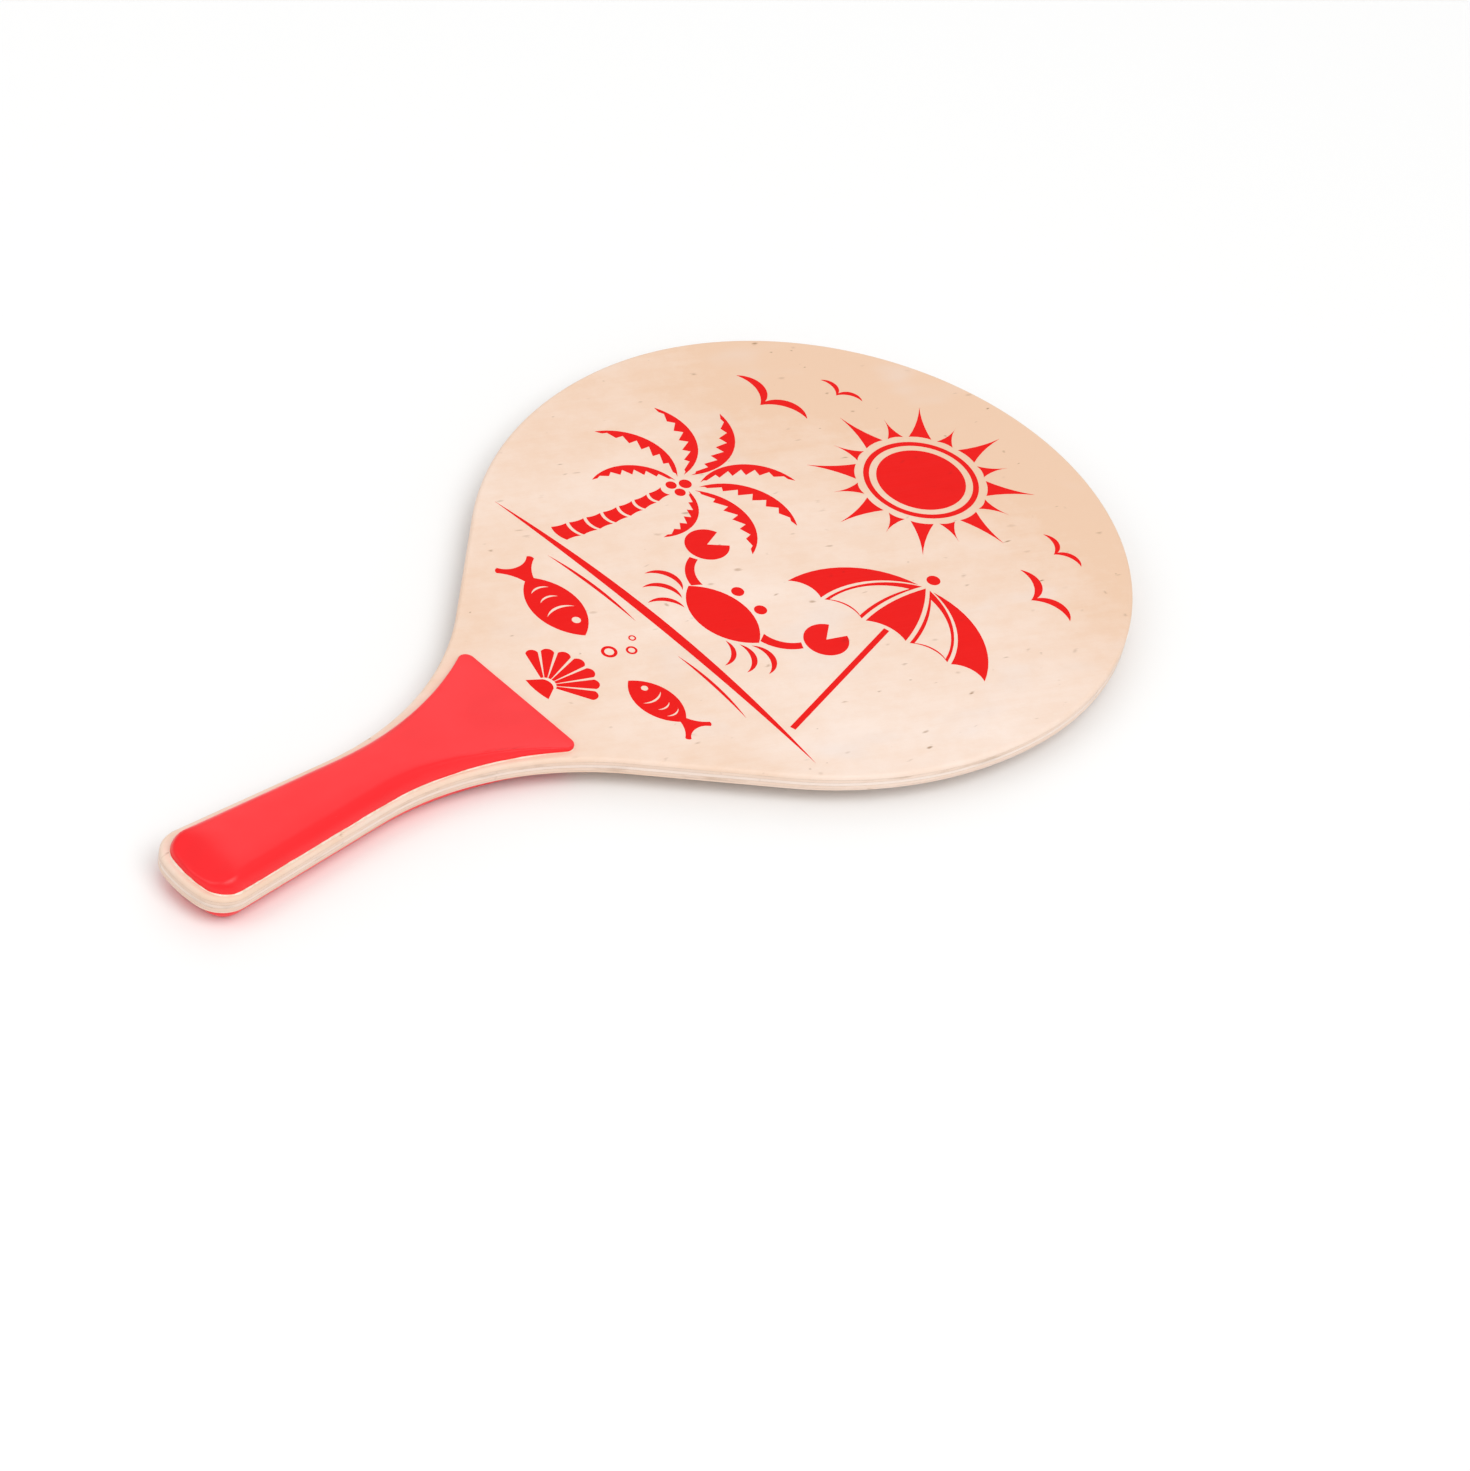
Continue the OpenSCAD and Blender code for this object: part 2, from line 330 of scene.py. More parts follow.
flecks = fleck_mask((14, 7.5), largest=0.12, share=0.5)
dashes = fleck_mask((30, 8), largest=0.065, share=0.3)
specks = fleck_mask((8, 6), largest=0.12, share=0.08)
marks = math_node(figure, "MULTIPLY", flecks, ramp(figure, cloud, 0.38, 0.58, 0.2, 0.85))
for others in (dashes, specks):
    marks = math_node(figure, "MAXIMUM", marks, others)
figure.links.new(mix_color(figure, marks, wood, given["Fleck"]), result["Color"])
figure.links.new(fibre, result["Fibre"])
figure.links.new(math_node(figure, "SUBTRACT", fibre, marks), result["Height"])
print("veneer figure:", len(figure.nodes), "nodes")

# %% [markdown]
# The face is drawn warmer and darker at the neck and at the tip, most of all on the tip's far side:
# three long ramps over the board add that to the figure's tone. The crossbands and the core show
# only at the edge, where saw dust and resin have left brown stains in them.

# %% Make the plywood's finishes
FACE_GRAIN_DEG = 22
CROSS_GRAIN_DEG = FACE_GRAIN_DEG + 90
WARM_SIDE, WARM_RUN, WARM_TONES = (0.89, 0.45, 0), (-30 * MM, 180 * MM), (0.08, 0.88)
NECK_RUN, NECK_TONES = (-60 * MM, 60 * MM), (0.48, 0)
TIP_RUN, TIP_TONES = (110 * MM, 190 * MM), (0, 0.34)


def figure_node(tree, colors, grain_deg, shift=(0, 0, 0)):
    """The veneer figure with its four colours, turned to a grain direction."""
    group = add(tree, "Group", node_tree=figure)
    tree.links.new(object_vector(tree, grain_deg, shift), group.inputs["Vector"])
    for socket, color in zip(FIGURE_COLORS, colors):
        group.inputs[socket].default_value = (*color, 1)
    return group


def board_tone(tree, place):
    """How far the face is drawn towards its warmer, darker colour at a place on the board."""
    toward = add(tree, "VectorMath", {0: place, 1: WARM_SIDE}, operation="DOT_PRODUCT")
    up = add(tree, "SeparateXYZ", {"Vector": place}).outputs["X"]
    tone = ramp(tree, toward.outputs["Value"], *WARM_RUN, *WARM_TONES)
    for run, tones in ((NECK_RUN, NECK_TONES), (TIP_RUN, TIP_TONES)):
        tone = math_node(tree, "ADD", tone, ramp(tree, up, *run, *tones))
    return tone


def veneer_material(name, colors, grain_deg, shift=(0, 0, 0), stained=0.0):
    made, tree, shader = new_material(name)
    group = figure_node(tree, colors, grain_deg, shift)
    place = object_vector(tree)
    tree.links.new(board_tone(tree, place), group.inputs["Tone"])
    stain = ramp(tree, stretched_noise(tree, place, (17, 17, 2.5), 3, 0.6), 0.54, 0.74, 0, stained)
    color = mix_color(tree, stain, group.outputs["Color"], (*colors[-1], 1))
    gloss = ramp(tree, group.outputs["Fibre"], 0.3, 0.7, 0.48, 0.62)
    wire_shader(tree, shader, color, gloss, group.outputs["Height"], strength=0.25, depth=0.05 * MM)
    return made


FACE_COLORS = (0.90, 0.745, 0.650), (0.80, 0.545, 0.380), (0.79, 0.70, 0.66), (0.34, 0.19, 0.09)
CROSSBAND_COLORS = (0.89, 0.715, 0.605), (0.76, 0.55, 0.42), (0.80, 0.66, 0.58), (0.40, 0.25, 0.15)
CORE_COLORS = (0.92, 0.79, 0.71), (0.82, 0.65, 0.55), (0.82, 0.73, 0.68), (0.38, 0.26, 0.18)
ELSEWHERE_IN_THE_LOG = (0.31, 0.17, 0)
front_veneer = veneer_material("front face veneer", FACE_COLORS, FACE_GRAIN_DEG)
rear_veneer = veneer_material(
    "rear face veneer", FACE_COLORS, FACE_GRAIN_DEG, shift=ELSEWHERE_IN_THE_LOG
)
crossband_veneer = veneer_material(
    "crossband veneer", CROSSBAND_COLORS, CROSS_GRAIN_DEG, stained=0.42
)
core_veneer = veneer_material("core veneer", CORE_COLORS, FACE_GRAIN_DEG, stained=0.3)
print("veneers:", [m.name for m in (front_veneer, rear_veneer, crossband_veneer, core_veneer)])

# %% [markdown]
# ## The board's outline
# The outline is a chain of arcs and straight runs that meet without a corner. A Bezier curve could
# follow it, but its radii would only come near the real ones. A spin sweeps a single vertex about
# a centre and leaves an arc of edges behind it, so the chain is drawn like string: spin, extrude,
# spin. Only one half is drawn, and the mirror operator makes the other. A chain that starts a
# little further in stays parallel to the outline, because every arc keeps its centre. The glue
# lines and the scales use that.

# %% Work out the centres of the arcs
LENGTH, BLADE_W, SIDE_R, SHOULDER = 380 * MM, 216 * MM, 128 * MM, 50 * MM
NECK_R, WAIST_W, TAPER = 109 * MM, 27 * MM, math.radians(3.25)
CORNER_R, BUTT_R = 11 * MM, 44 * MM


def ray(angle):
    return Vector((math.cos(angle), math.sin(angle), 0))


tip_centre = Vector((LENGTH / 2 - BLADE_W / 2, 0, 0))
side_centre = Vector((tip_centre.x, BLADE_W / 2 - SIDE_R, 0))
neck_y = WAIST_W / 2 + NECK_R
neck_reach = math.hypot(SIDE_R + NECK_R, SHOULDER)
neck_x = side_centre.x - math.sqrt(neck_reach**2 - (neck_y - side_centre.y) ** 2)
neck_centre = Vector((neck_x, neck_y, 0))
to_neck = neck_centre - side_centre
shoulder_normal = math.atan2(to_neck.y, to_neck.x) - math.atan2(SHOULDER, SIDE_R + NECK_R)

handle_normal = math.pi / 2 - TAPER
handle_dir = ray(handle_normal + math.pi / 2)
handle_start = neck_centre - NECK_R * ray(handle_normal)
butt_centre = Vector((-LENGTH / 2 + BUTT_R, 0, 0))
track = handle_start - CORNER_R * ray(handle_normal) - butt_centre
along = track.dot(handle_dir)
handle_run = math.sqrt(along**2 - track.length_squared + (BUTT_R - CORNER_R) ** 2) - along
corner_centre = butt_centre + track + handle_run * handle_dir
butt_normal = math.atan2(corner_centre.y, corner_centre.x - butt_centre.x)
print("neck's centre in mm:", [round(c / MM, 2) for c in neck_centre])

# %% Draw the outline
TIP_STEPS, SIDE_STEPS, SHOULDER_STEPS, NECK_STEPS = 60, 28, 6, 28
HANDLE_STEPS, CORNER_STEPS, BUTT_STEPS = 30, 16, 10
TOUCHING = 1e-6


def arc_on(bm, vert, centre, turn, steps):
    """Sweeps a vertex about an upright axis and gives back the arc's last vertex."""
    middle = (centre.x, centre.y, vert.co.z)
    swept = bmesh.ops.spin(bm, geom=[vert], cent=middle, axis=(0, 0, 1), angle=turn, steps=steps)
    return next(g for g in swept["geom_last"] if isinstance(g, bmesh.types.BMVert))


def line_on(bm, vert, run, steps=1):
    """Extrudes a vertex along a straight run and gives back the last one."""
    for _ in range(steps):
        vert = bmesh.ops.extrude_vert_indiv(bm, verts=[vert])["verts"][0]
        bmesh.ops.translate(bm, verts=[vert], vec=run / steps)
    return vert


def handle_end(bm, vert):
    """Takes a chain from the end of the neck to the middle of the butt."""
    vert = line_on(bm, vert, handle_run * handle_dir, HANDLE_STEPS)
    vert = arc_on(bm, vert, corner_centre, butt_normal - handle_normal, CORNER_STEPS)
    arc_on(bm, vert, butt_centre, math.pi - butt_normal, BUTT_STEPS)


def mirrored(bm, axis="Y"):
    """Adds the other half of a shape of which one half was drawn."""
    half = bm.verts[:] + bm.edges[:]
    bmesh.ops.mirror(bm, geom=half, matrix=Matrix(), merge_dist=TOUCHING, axis=axis)
    bmesh.ops.remove_doubles(bm, verts=bm.verts, dist=TOUCHING)


def board_outline(z, inset=0.0):
    bm = bmesh.new()
    vert = bm.verts.new((LENGTH / 2 - inset, 0, z))
    vert = arc_on(bm, vert, tip_centre, math.pi / 2, TIP_STEPS)
    vert = arc_on(bm, vert, side_centre, shoulder_normal - math.pi / 2, SIDE_STEPS)
    vert = line_on(bm, vert, SHOULDER * ray(shoulder_normal + math.pi / 2), SHOULDER_STEPS)
    vert = arc_on(bm, vert, neck_centre, handle_normal - shoulder_normal, NECK_STEPS)
    handle_end(bm, vert)
    mirrored(bm)
    return bm


bm = board_outline(0)
print("outline:", len(bm.verts), "vertices,", len(bm.edges), "edges")
bm.free()

# %% [markdown]
# ## The layers
# A layer is the outline filled with one face and extruded to its thickness. A sheet with a solidify
# modifier would look the same, but the bevel of the face veneers needs the real corner. The glue
# lines are drawn a hair further in, because sanding wears them lower than the wood. The outer
# corner of each face veneer is rounded with the bevel operator. The weighted normal modifier then
# keeps the broad faces flat in the light, so the shading turns only where the edge really turns.

# %% Stack the layers
CORE_T, CROSSBAND_T, FACE_T, GLUE_T = 1.1 * MM, 1.1 * MM, 1.4 * MM, 0.1 * MM
core_top = CORE_T / 2
crossband_low = core_top + GLUE_T
crossband_top = crossband_low + CROSSBAND_T
face_low = crossband_top + GLUE_T
board_top = face_low + FACE_T
print("board is", round(2 * board_top / MM, 2), "mm thick")

# %% Build the plies and the glue lines
FRONT, REAR = 1, -1
GLUE_WEAR, SHARP_ANGLE = 0.03 * MM, math.radians(40)


def paddle_piece(bm, name, material, node=None, flat=True):
    """Finishes a piece: its mesh, finish and slot, the body it rides on and the node it stands for.
    A flat piece also gets even shading.
    """
    bmesh.ops.recalc_face_normals(bm, faces=bm.faces)
    for face in bm.faces:
        face.smooth = True
    made = mesh_object(bm, name, material)
    made.data.set_sharp_from_angle(angle=SHARP_ANGLE)
    if flat:
        shading = made.modifiers.new("even shading", "WEIGHTED_NORMAL")
        shading.keep_sharp = True
    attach(made, "root")
    if node:
        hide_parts(node)
    print(name, "has", len(made.data.polygons), "faces")


def turned_over(bm, side):
    """Flips a piece that was built on the front to its side of the board."""
    bmesh.ops.scale(bm, vec=(1, 1, side), verts=bm.verts)


def slab(low, high, inset=0.0):
    """One layer of the board between two heights."""
    bm = board_outline(low, inset)
    foot = bmesh.ops.edgeloop_fill(bm, edges=bm.edges)["faces"]
    risen = bmesh.ops.extrude_face_region(bm, geom=foot)["geom"]
    lid = [g for g in risen if isinstance(g, bmesh.types.BMVert)]
    bmesh.ops.translate(bm, verts=lid, vec=(0, 0, high - low))
    return bm


paddle_piece(slab(-core_top, core_top), "core_ply", core_veneer, "core_veneer")
for side, word in ((FRONT, "front"), (REAR, "rear")):
    for low, high, inset, finish, name, slot, node in (
        (core_top, crossband_low, GLUE_WEAR, glue_line,
         "inner_glue", "glue_line", "inner_glue_line"),
        (crossband_low, crossband_top, 0, crossband_veneer,
         "crossband_ply", "crossband", "crossband"),
        (crossband_top, face_low, GLUE_WEAR, glue_line,
         "outer_glue", "glue_line", "outer_glue_line"),
    ):
        bm = slab(low, high, inset)
        turned_over(bm, side)
        paddle_piece(bm, f"{word}_{name}", finish, f"{word}_{node}")

# %% Build the face veneers with their rounded edge
ARRIS_R, ARRIS_SEGMENTS = 1.3 * MM, 6
for side, word, finish in ((FRONT, "front", front_veneer), (REAR, "rear", rear_veneer)):
    bm = slab(face_low, board_top)
    rim = [e for e in bm.edges if all(v.co.z > board_top - TOUCHING for v in e.verts)]
    bmesh.ops.bevel(
        bm, geom=rim, offset=ARRIS_R, offset_type="OFFSET", segments=ARRIS_SEGMENTS, profile=0.5,
        affect="EDGES", clamp_overlap=False, material=-1,
    )
    turned_over(bm, side)
    paddle_piece(bm, f"{word}_face_ply", finish, f"{word}_face_veneer")

# %% [markdown]
# ## Red enamel
# The scales are sprayed with a bright red enamel over sanded wood. A plain glossy red would look
# like plastic. Real enamel is smooth but not perfect: the gloss varies a little, there is a fine
# orange-peel ripple, and here and there the paint has come off in tiny pale chips along the lower
# border, where it was masked. The chips read the height above the board.

# %% Make the enamel
BRIGHT_RED, DEEP_RED = (0.95, 0.010, 0.016, 1), (0.88, 0.007, 0.012, 1)
BARE_WOOD, CHIP_REACH = (0.85, 0.66, 0.56, 1), 0.9 * MM


def enamel_material():
    made, tree, shader = new_material("red enamel")
    place = object_vector(tree)
    patches = stretched_noise(tree, place, (25, 18, 18), 2)
    ripple = stretched_noise(tree, place, (2.2, 2.2, 2.2), 2)
    dust = stretched_noise(tree, place, (0.7, 0.7, 0.7), 2)
    red = mix_color(tree, ramp(tree, patches, 0.3, 0.7), BRIGHT_RED, DEEP_RED)
    height = math_node(tree, "ABSOLUTE", add(tree, "SeparateXYZ", {"Vector": place}).outputs["Z"])
    chips = ramp(tree, height, board_top, board_top + CHIP_REACH, 1, 0)
    for share in (ramp(tree, dust, 0.62, 0.67), ramp(tree, patches, 0.53, 0.60)):
        chips = math_node(tree, "MULTIPLY", chips, share)
    color = mix_color(tree, chips, red, BARE_WOOD)
    gloss = ramp(tree, patches, 0.25, 0.75, 0.27, 0.36)
    shader.inputs["Specular IOR Level"].default_value = 0.42
    wire_shader(tree, shader, color, gloss, ripple, strength=0.12, depth=0.06 * MM)
    return made


red_enamel = enamel_material()
print("enamel:", len(red_enamel.node_tree.nodes), "nodes")

# %% [markdown]
# ## The handle scales
# A scale is thin along its straight top edge, rises up a ramp to a flat crown and dips again at
# the butt, and its sides are rounded over. Bevels could round it, but not by a radius that runs out
# with the ramp. So the shape is one height for every place on the board: the crest's height at that
# x, held down near the border by the rounded shoulder. A soft minimum blends the two, because
# sanding and paint leave no crease there.

# %% Give the scale's side view
SCALE_TOP_X, MARGIN, TOP_CORNER_R = LENGTH / 2 - 241 * MM, 2.5 * MM, 3 * MM
SCALE_H, EDGE_T, RAMP_LEN, BEND_R = 6 * MM, 1.2 * MM, 55 * MM, 300 * MM
NOSE_LEN, NOSE_R, FILM_T = 15 * MM, 30 * MM, 0.1 * MM
film_top = board_top + FILM_T
ramp_slope = math.atan2(SCALE_H - EDGE_T, RAMP_LEN)
bend_x = SCALE_TOP_X - RAMP_LEN - BEND_R * math.tan(ramp_slope / 2)
ramp_foot_x = bend_x + BEND_R * math.sin(ramp_slope)
nose_x = -LENGTH / 2 + MARGIN + NOSE_LEN


def crest(x):
    """Height of the scale along its middle."""
    if x > ramp_foot_x:
        return EDGE_T + (SCALE_TOP_X - x) * math.tan(ramp_slope)
    if x > bend_x:
        return SCALE_H - BEND_R + math.sqrt(BEND_R**2 - (x - bend_x) ** 2)
    if x > nose_x:
        return SCALE_H
    return SCALE_H - NOSE_R + math.sqrt(NOSE_R**2 - (nose_x - x) ** 2)


print("crest at the top edge, ramp foot and crown in mm:",
      [round(crest(x) / MM, 2) for x in (SCALE_TOP_X, ramp_foot_x, bend_x)])

# %% Round the scale's border over
SHOULDER_R, SHOULDER_SLOPE, BLEND, EDGE_ROUND = 5.2 * MM, 0.2, 0.8 * MM, 0.5 * MM
LEAST_ROUND = 0.4 * EDGE_T


def shoulder(depth):
    """Height that the rounded side has gained at some depth inside the border."""
    depth = depth**2 / (depth + EDGE_ROUND)
    lean = math.atan(SHOULDER_SLOPE)
    turned = SHOULDER_R * (1 - math.sin(lean))
    if depth > turned:
        return SHOULDER_R * math.cos(lean) + SHOULDER_SLOPE * (depth - turned)
    return math.sqrt(SHOULDER_R**2 - (SHOULDER_R - depth) ** 2)


def scale_height(x, depth):
    """Soft minimum of the crest and the rounded side."""
    top = crest(x)
    side = min(SCALE_H - SHOULDER_R, top - LEAST_ROUND) + shoulder(depth)
    share = min(1, max(0, 0.5 + 0.5 * (side - top) / BLEND))
    return side + share * (top - side) - BLEND * share * (1 - share)


print("height at the waist, 0 to 10 mm inside the border:",
      [round(scale_height(bend_x, step * MM) / MM, 2) for step in range(11)])

# %% [markdown]
# The scales were glued on a little to one side of the middle, and their hollow opens out less than
# the board's, so more plywood shows beside the top edge.
# The mesh starts as a closed chain of edges inside the board's outline. Rings of edges are
# extruded inward from it, close together where the side turns fast. The ring that is left has
# four sides, so the grid fill operator closes it with an even net of quads.

# %% Draw the scale's outline
FLARE_EASE, SCALE_SHIFT = 9.5 * MM, 1 * MM
TOP_STEPS, TOP_CORNER_STEPS, FLARE_STEPS = 13, 10, 40
SCALE_NECK_R = NECK_R + MARGIN + FLARE_EASE
scale_neck_centre = handle_start + (SCALE_NECK_R - MARGIN) * ray(handle_normal)


def scale_outline(z):
    corner_x = SCALE_TOP_X - TOP_CORNER_R
    across = scale_neck_centre.x - corner_x
    up = math.sqrt((SCALE_NECK_R + TOP_CORNER_R) ** 2 - across**2)
    corner = Vector((corner_x, scale_neck_centre.y - up, 0))
    corner_normal = math.atan2(up, across)
    bm = bmesh.new()
    vert = bm.verts.new((SCALE_TOP_X, 0, z))
    vert = line_on(bm, vert, Vector((0, corner.y, 0)), TOP_STEPS)
    vert = arc_on(bm, vert, corner, corner_normal, TOP_CORNER_STEPS)
    vert = arc_on(bm, vert, scale_neck_centre, handle_normal - corner_normal, FLARE_STEPS)
    handle_end(bm, vert)
    mirrored(bm)
    return bm


bm = scale_outline(film_top)
print("scale outline:", len(bm.edges), "edges")
bm.free()


# %% Find the depth inside the border
def next_ring(bm, ring, move):
    """Extrudes a ring of edges; move gives a new vertex its place from the one it came from."""
    made = bmesh.ops.extrude_edge_only(bm, edges=ring)["geom"]
    edges = [g for g in made if isinstance(g, bmesh.types.BMEdge)]
    old = {v for e in ring for v in e.verts}
    pairs = {}
    for v in {v for e in edges for v in e.verts} - old:
        pairs[v] = next(e.other_vert(v) for e in v.link_edges if e.other_vert(v) in old)
    for v, parent in pairs.items():
        v.co = move(parent)
    return [e for e in edges if all(v in pairs for v in e.verts)], pairs


def border_tree():
    """A search tree that finds the nearest place on the scale's border."""
    fence = scale_outline(-SCALE_H)
    next_ring(fence, fence.edges[:], lambda v: v.co + Vector((0, 0, 2 * SCALE_H)))
    tree = BVHTree.FromBMesh(fence)
    fence.free()
    return tree


def depth_inside(place):
    return border.find_nearest((place.x, place.y, 0))[3]


border = border_tree()
half_width = depth_inside(Vector((bend_x, 0, 0)))
print("the scale is", round(2 * half_width / MM, 2), "mm wide where its crown starts")

# %% [markdown]
# Every vertex is lifted to its height. Slow noise then adds the small dents of hand sanding, with a
# livelier ripple at the butt, where the paint ran together as it dried. They could be a bump in the
# enamel, but real dents show in the shape too, from any side.

# %% Dent the scale
SANDED_DENTS = (0.11 * MM, 14 * MM), (0.03 * MM, 5 * MM)
POOLED_DEPTH, POOLED_SIZE = 0.22 * MM, 7.5 * MM
POOLED_TOP_X, POOLED_RUN = nose_x + 15 * MM, 20 * MM
DENT_ROOM, UNDENTED_RIM = 0.12 * MM, 3 * MM


def dent(x, y, seed):
    """Height of sanding marks and pooled paint at a place on the scale."""
    place = Vector((x, y, seed))
    pooled = min(1, max(0, (POOLED_TOP_X - x) / POOLED_RUN))
    height = pooled * POOLED_DEPTH * noise.noise(place / POOLED_SIZE)
    return height + sum(depth * noise.noise(place / size) for depth, size in SANDED_DENTS)


def lifted(place, seed):
    """Height of the scale's surface; dents fade out towards the border."""
    depth = depth_inside(place)
    dented = min(1, depth / UNDENTED_RIM) * (dent(place.x, place.y, seed) - DENT_ROOM)
    return film_top + scale_height(place.x, depth) + dented


crown = lifted(Vector((bend_x, 0, 0)), seed=0.3)
print("the crown starts", round(crown / MM, 2), "mm above the middle of the board")

# %% Build the scales
RING_DEPTHS = [depth * MM for depth in (0.06, 0.14, 0.25, 0.4, 0.6, 0.9, 1.3, 1.8, 2.4)]
END_EDGES = TOP_STEPS + TOP_CORNER_STEPS // 2


def outward_at(bm, pairs):
    """Outward directions of an upright wall, read from its normals."""
    bmesh.ops.recalc_face_normals(bm, faces=bm.faces)
    bm.normal_update()
    butt = min(pairs, key=lambda v: v.co.x)
    sign = -1 if butt.normal.x > 0 else 1
    return {v: sign * v.normal.copy() for v in pairs}


def long_side(ring, sign):
    """The edges of one long side of a ring, between the middles of its corners."""
    middles = {e: (e.verts[0].co + e.verts[1].co) / 2 for e in ring}
    half = sorted((e for e in ring if middles[e].y * sign > 0), key=lambda e: middles[e].x)
    return half[END_EDGES:-END_EDGES]


def scale_body(seed):
    bm = scale_outline(film_top)
    foot = bm.edges[:]
    ring, pairs = next_ring(bm, foot, lambda v: v.co + Vector((0, 0, LEAST_ROUND)))
    outward = outward_at(bm, pairs)
    start = {v: v.co.copy() for v in pairs}
    for depth in RING_DEPTHS:
        ring, pairs = next_ring(bm, ring, lambda v: start[v] - depth * outward[v])
        start.update({v: start[old] for v, old in pairs.items()})
        outward.update({v: outward[old] for v, old in pairs.items()})
    bmesh.ops.grid_fill(bm, edges=long_side(ring, 1) + long_side(ring, -1))
    for v in bm.verts:
        if v.co.z > film_top + TOUCHING:
            v.co.z = lifted(v.co, seed)
    bmesh.ops.edgeloop_fill(bm, edges=foot)
    return bm


def set_on_handle(bm, side):
    """Moves a finished scale or glue film to its place and to its side of the board."""
    bmesh.ops.translate(bm, verts=bm.verts, vec=(0, -SCALE_SHIFT, 0))
    turned_over(bm, side)


for side, word, seed in ((FRONT, "front", 0.3), (REAR, "rear", 0.8)):
    bm = scale_body(seed)
    set_on_handle(bm, side)
    paddle_piece(
        bm, f"{word}_red_scale", red_enamel, f"{word}_handle_scale", flat=False
    )

# %% [markdown]
# ## The glue under the scales
# When the scales were pressed on, a little glue came out all round and dried as a thin, uneven
# pale bead. A curve with a round profile could lie along the border, but it would be a separate,
# even cord. The film and its bead are one piece: the film's outline is extruded ring by ring, out
# along the board, up to the scale's wall, and down the wall to the film's own level, where a face
# closes it under the scale. Noise makes the bead's width wander.

# %% Build the glue films with their bead
BEAD_MEAN, BEAD_LEAST, BEAD_WANDER = 0.34 * MM, 0.06 * MM, 1.2
BEAD_BROAD, BEAD_FINE, FINE_SHARE = 9 * MM, 2.5 * MM, 0.5
BEAD_SHOULDER, BEAD_RISE = 0.6, 0.7


def bead_width(place, seed):
    place = Vector((place.x, place.y, seed))
    wander = noise.noise(place / BEAD_BROAD) + FINE_SHARE * noise.noise(place / BEAD_FINE)
    return max(BEAD_LEAST, BEAD_MEAN * (1 + BEAD_WANDER * wander))


def glue_film(seed):
    bm = scale_outline(board_top)
    foot = bm.edges[:]
    ring, pairs = next_ring(bm, foot, lambda v: v.co + Vector((0, 0, FILM_T)))
    outward = outward_at(bm, pairs)
    wall = {v: v.co.copy() for v in pairs}
    widths = {v: bead_width(v.co, seed) for v in pairs}
    for v, old in pairs.items():
        old.co += widths[v] * outward[v]
        v.co += BEAD_SHOULDER * widths[v] * outward[v]
    ring, pairs = next_ring(bm, ring, lambda v: wall[v] + Vector((0, 0, BEAD_RISE * widths[v])))
    ring, pairs = next_ring(bm, ring, lambda v: wall[pairs[v]])
    for edges in (foot, ring):
        bmesh.ops.edgeloop_fill(bm, edges=edges)
    return bm


for side, word, seed in ((FRONT, "front", 2.1), (REAR, "rear", 4.6)):
    bm = glue_film(seed)
    set_on_handle(bm, side)
    paddle_piece(bm, f"{word}_glue_bead", dried_glue, f"{word}_scale_glue")

# %% [markdown]
# ## The printed design
# The blade carries a one-colour screen print: flat red shapes with crisp edges and narrow gaps
# between them, as a stencil gives. The design here is a seaside scene made up for this lesson. It
# could be a mask in the veneer's material, but only real shapes keep their edges crisp from close
# by. The ink lies in the pores of the wood, so its red and its gloss follow the same fibres.

# %% Make the ink
INK_REDS = (0.80, 0.006, 0.004), (0.72, 0.005, 0.004), (0.83, 0.011, 0.010), (0.66, 0.006, 0.005)


def ink_material():
    made, tree, shader = new_material("red ink")
    group = figure_node(tree, INK_REDS, FACE_GRAIN_DEG)
    gloss = ramp(tree, group.outputs["Fibre"], 0.3, 0.7, 0.48, 0.60)
    shader.inputs["Specular IOR Level"].default_value = 0.10
    color, height = group.outputs["Color"], group.outputs["Height"]
    wire_shader(tree, shader, color, gloss, height, strength=0.2, depth=0.04 * MM)
    return made


red_ink = ink_material()
print("ink:", len(red_ink.node_tree.nodes), "nodes")

# %% [markdown]
# Each shape is drawn on a page, in mm to the right and upward, as a closed chain of arcs and
# straight runs, with the same two helpers that drew the board. An arc is given by its end and by
# how far it bulges, which is easy to read off a sketch. The chain is filled, raised by the
# thickness of the ink and turned so that the page's top points to the tip.

# %% Draw on the page
ARC_STEP, LONGEST_STEP, CIRCLE_SIDES = math.radians(6), 3 * MM, 64


def on_page(place):
    return Vector((*place, 0)) * MM


def curve_to(bm, vert, end, sag):
    """Draws on to a place on the page. The sag is how far the arc bulges left of its chord."""
    chord = on_page(end) - vert.co
    if not sag:
        return line_on(bm, vert, chord)
    half, rise = chord.length / 2, sag * MM
    left = Vector((-chord.y, chord.x, 0)).normalized()
    centre = vert.co + chord / 2 + left * (rise - (half**2 + rise**2) / (2 * rise))
    turn = -4 * math.atan(rise / half)
    steps = max(2, round(abs(turn) / ARC_STEP), round(chord.length / LONGEST_STEP))
    return arc_on(bm, vert, centre, turn, steps)


def contour(bm, start, *moves):
    """Draws a closed chain; each move has a place's right and up and the sag on the way there."""
    first = vert = bm.verts.new(on_page(start))
    for right, up, sag in moves:
        vert = curve_to(bm, vert, (right, up), sag)
    bmesh.ops.weld_verts(bm, targetmap={vert: first})


def crescent(bm, start, end, outer, inner):
    """Two arcs between the same two places."""
    contour(bm, start, (*end, outer), (*start, -inner))


def ring_at(bm, place, radius):
    matrix = Matrix.Translation(on_page(place))
    bmesh.ops.create_circle(bm, segments=CIRCLE_SIDES, radius=radius * MM, matrix=matrix)


